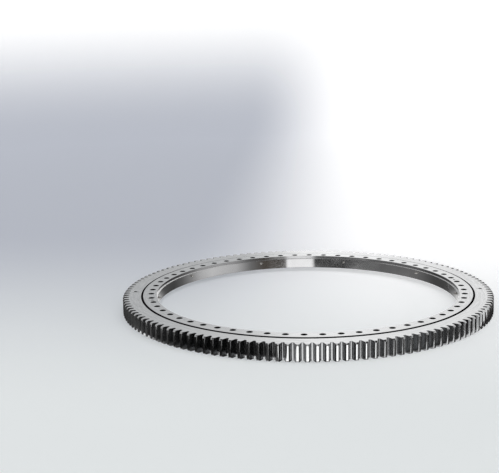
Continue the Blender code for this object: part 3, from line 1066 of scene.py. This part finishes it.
def studio_world():
    """Surroundings by direction, seen only in the steel: soft panels over a grey ground."""
    world = bpy.data.worlds.new("studio")
    bpy.context.scene.world = world
    world.cycles_visibility.diffuse = False
    nodes = Nodes(world)
    parts = nodes.split(nodes.coordinate("Generated"))
    turn = nodes.math("DIVIDE", nodes.math("ARCTAN2", parts["Y"], parts["X"]), math.tau)
    elevation = nodes.math("MULTIPLY", nodes.math("ARCSINE", parts["Z"]), math.degrees(1))
    colour = GROUND
    # Each layer fades in over what is below it, between two elevations in degrees
    layers = (
        (-66, -52, nodes.around(turn, TOOTH_SURROUNDINGS)),
        (-14.9, -14.4, nodes.around(turn, BORE_SURROUNDINGS)),
        (4, 9, nodes.around(turn, SKY_SURROUNDINGS)),
        (15, 16.5, nodes.around(turn, HIGH_SKY_SURROUNDINGS)),
        (28, 48, SKY_TOP),
        (54, 62, CEILING_EDGE),
        (76.2, 78, CEILING),
    )
    for low, high, above in layers:
        colour = nodes.mix(nodes.ranged(elevation, 0, 1, low, high, smooth=True), colour, above)
    nodes.link(colour, nodes.tree.nodes["Background"].inputs["Color"])


FLOOR_RADIUS = 5.0
SWEEP_RADIUS = 3.0
SWEEP_STEPS = 24
SHADOW_SHARE = 0.45
BACKDROP_GAP = 0.0002
# Painted light of the glowing backdrop: darker and cooler far left, white far right and up the walls
NEAR_COLOUR = (0.650, 0.675, 0.682)
FAR_LEFT_COLOUR = (0.40, 0.42, 0.47)
FAR_RIGHT_COLOUR = (0.93, 0.93, 0.94)
HIGH_COLOUR = (0.97, 0.97, 0.97)


def build_backdrop():
    """A pale floor that sweeps up all round and glows, with painted light: darker and cooler on the far
    left, white on the far right.
    """
    profile = [(FLOOR_RADIUS, 0.0)]
    for step in range(1, SWEEP_STEPS + 1):
        angle = math.pi / 2 * step / SWEEP_STEPS
        out = FLOOR_RADIUS + SWEEP_RADIUS * math.sin(angle)
        profile.append((out, SWEEP_RADIUS * (1 - math.cos(angle))))
    bm = bmesh.new()
    bm.faces.new(add_circles(bm, profile, 96)[0])
    backdrop = new_object("studio_backdrop", finished_mesh("studio_backdrop", bm))
    backdrop.location.z = GEAR_BOTTOM - BACKDROP_GAP
    if backdrop.data.polygons[0].normal.z < 0:
        backdrop.data.flip_normals()

    nodes = material_nodes("studio_backdrop")
    place = nodes.split(nodes.coordinate("Object"))
    across = nodes.ranged(place["X"], 0, 1, -0.6, 0.4, smooth=True)
    far = nodes.ranged(place["Y"], 0, 1, -1.2, 1.4, smooth=True)
    high = nodes.ranged(place["Z"], 0, 1, 0, 1.1, smooth=True)
    far_colour = nodes.mix(across, FAR_LEFT_COLOUR, FAR_RIGHT_COLOUR)
    colour = nodes.mix(far, NEAR_COLOUR, far_colour)
    colour = nodes.mix(high, colour, HIGH_COLOUR)
    nodes.link(colour, nodes.shader.inputs["Base Color"])
    # The backdrop glows in these colours, so its painted light shows without lamps
    nodes.link(colour, nodes.shader.inputs["Emission Color"])
    nodes.set("Emission Strength", 1 - SHADOW_SHARE)
    # Clear from below, so that the ring's underside can be seen through it
    backfacing = nodes.add("ShaderNodeNewGeometry").outputs["Backfacing"]
    nodes.set("Alpha", nodes.math("SUBTRACT", 1.0, backfacing))
    nodes.set("Roughness", 1.0)
    nodes.set("Specular IOR Level", 0.0)
    backdrop.data.materials.append(nodes.owner)
    backdrop.visible_glossy = False
    backdrop.visible_shadow = False


FLAG_INNER_RADIUS = 0.677
FLAG_OUTER_RADIUS = 1.0
FLAG_SECTORS = ((-182, -96), (-31, 35))
FLAG_STEPS = 48
FLAG_GAP = 0.0001


def build_flags():
    """Two dark flags on the floor, left and right of the ring, seen only in reflections."""
    bm = bmesh.new()
    for start, end in FLAG_SECTORS:
        rows = []
        for radius in (FLAG_INNER_RADIUS, FLAG_OUTER_RADIUS):
            row = []
            for step in range(FLAG_STEPS + 1):
                azimuth = math.radians(start + (end - start) * step / FLAG_STEPS)
                x = radius * math.cos(azimuth)
                y = radius * math.sin(azimuth)
                row.append(bm.verts.new((x, y, 0)))
            rows.append(row)
        inner, outer = rows
        for step in range(FLAG_STEPS):
            bm.faces.new((inner[step], inner[step + 1], outer[step + 1], outer[step]))
    flags = new_object("studio_flags", finished_mesh("studio_flags", bm))
    flags.location.z = GEAR_BOTTOM - FLAG_GAP

    nodes = material_nodes("studio_flags")
    turn = nodes.split(nodes.round_axis(1, 1 / math.tau, 1))["Y"]
    nodes.link(nodes.around(turn, FLAG_SHADES), nodes.shader.inputs["Emission Color"])
    nodes.set("Emission Strength", 1.0)
    nodes.set("Base Color", (0.0, 0.0, 0.0))
    nodes.set("Specular IOR Level", 0.0)
    flags.data.materials.append(nodes.owner)
    flags.visible_camera = False
    flags.visible_diffuse = False
    flags.visible_shadow = False


# (name, share of the light, tilt and turn in degrees)
SOFT_LIGHTS = (("key_light", 0.65, 26, 60), ("fill_light", 0.35, 30, 215))
SOFT_LIGHT_SPREAD = math.radians(70)


def build_lights():
    """Two wide soft lights from above, which the steel doesn't mirror."""
    for name, share, tilt, turn in SOFT_LIGHTS:
        data = bpy.data.lights.new(name, "SUN")
        data.energy = math.pi * SHADOW_SHARE * share / math.cos(math.radians(tilt))
        data.angle = SOFT_LIGHT_SPREAD
        light = new_object(name, data)
        light.rotation_euler = (math.radians(tilt), 0, math.radians(turn))
        light.visible_glossy = False


CAMERA_PLACE = (0.0747, -4.1563, 1.1434)
CAMERA_HEADING = math.radians(3.899)
CAMERA_TILT = math.radians(90 - 11.942)
CAMERA_ROLL = math.radians(-1.012)
SENSOR_WIDTH_MM = 36
LENS_MM = 83.93


def build_camera():
    """Long lens, a little above the ring, almost level across."""
    data = bpy.data.cameras.new("camera")
    data.sensor_width = SENSOR_WIDTH_MM
    data.lens = LENS_MM
    camera = new_object("camera", data)
    heading = Matrix.Rotation(CAMERA_HEADING, 4, "Z")
    tilt = Matrix.Rotation(CAMERA_TILT, 4, "X")
    roll = Matrix.Rotation(CAMERA_ROLL, 4, "Z")
    camera.matrix_world = Matrix.Translation(CAMERA_PLACE) @ heading @ tilt @ roll
    bpy.context.scene.camera = camera


def main():
    bpy.context.scene.view_settings.view_transform = "Standard"
    steels = {
        "face": turned_steel("face_steel", (0.60, 0.605, 0.61), (0.12, 0.19), contrast=0.16),
        "tooth_tip": turned_steel("tooth_tip_steel", (0.56, 0.565, 0.57), (0.10, 0.15)),
        # Flanks darker than the tips: painted shade between the teeth
        "tooth_flank": hobbed_steel("tooth_flank_painted_shade_steel", (0.36, 0.365, 0.37), (0.12, 0.2)),
        "raceway": ground_steel("raceway_steel", (0.55, 0.55, 0.56), (0.10, 0.16)),
        "bore": ground_steel("bore_steel", (0.56, 0.56, 0.565), (0.06, 0.10)),
        # Counterbore wall: the turned steel made darker, painted shade in the recess
        "recess": turned_steel("recess_painted_shade_steel", (0.40, 0.40, 0.405), (0.10, 0.15)),
        # Ledge: steel made near white, a painted highlight
        "ledge": ground_steel("ledge_painted_highlight_steel", (0.95, 0.95, 0.95), (0.08, 0.12)),
        # Hole walls: bare drilled steel painted near black, painted shade in the holes
        "drilled": dark_dull_steel("drilled_painted_shade_steel", 0.006, 0.014),
    }
    build_backdrop()
    build_flags()
    build_lights()
    studio_world()
    build_camera()
    build_gear_ring(steels)
    build_inner_ring(steels)
    build_seals(seal_rubber())
    build_loading_plug(turned_steel("plug_steel", (0.48, 0.48, 0.49), (0.22, 0.3), 500))
    build_plug_pin(dark_dull_steel("pin_steel", 0.010, 0.025))
    build_grease_nipples(ground_steel("nipple_steel", (0.45, 0.44, 0.42), (0.25, 0.35)))
    build_ball_train(ground_steel("ball_steel", (0.72, 0.72, 0.73), (0.05, 0.09)), spacer_polymer())


main()
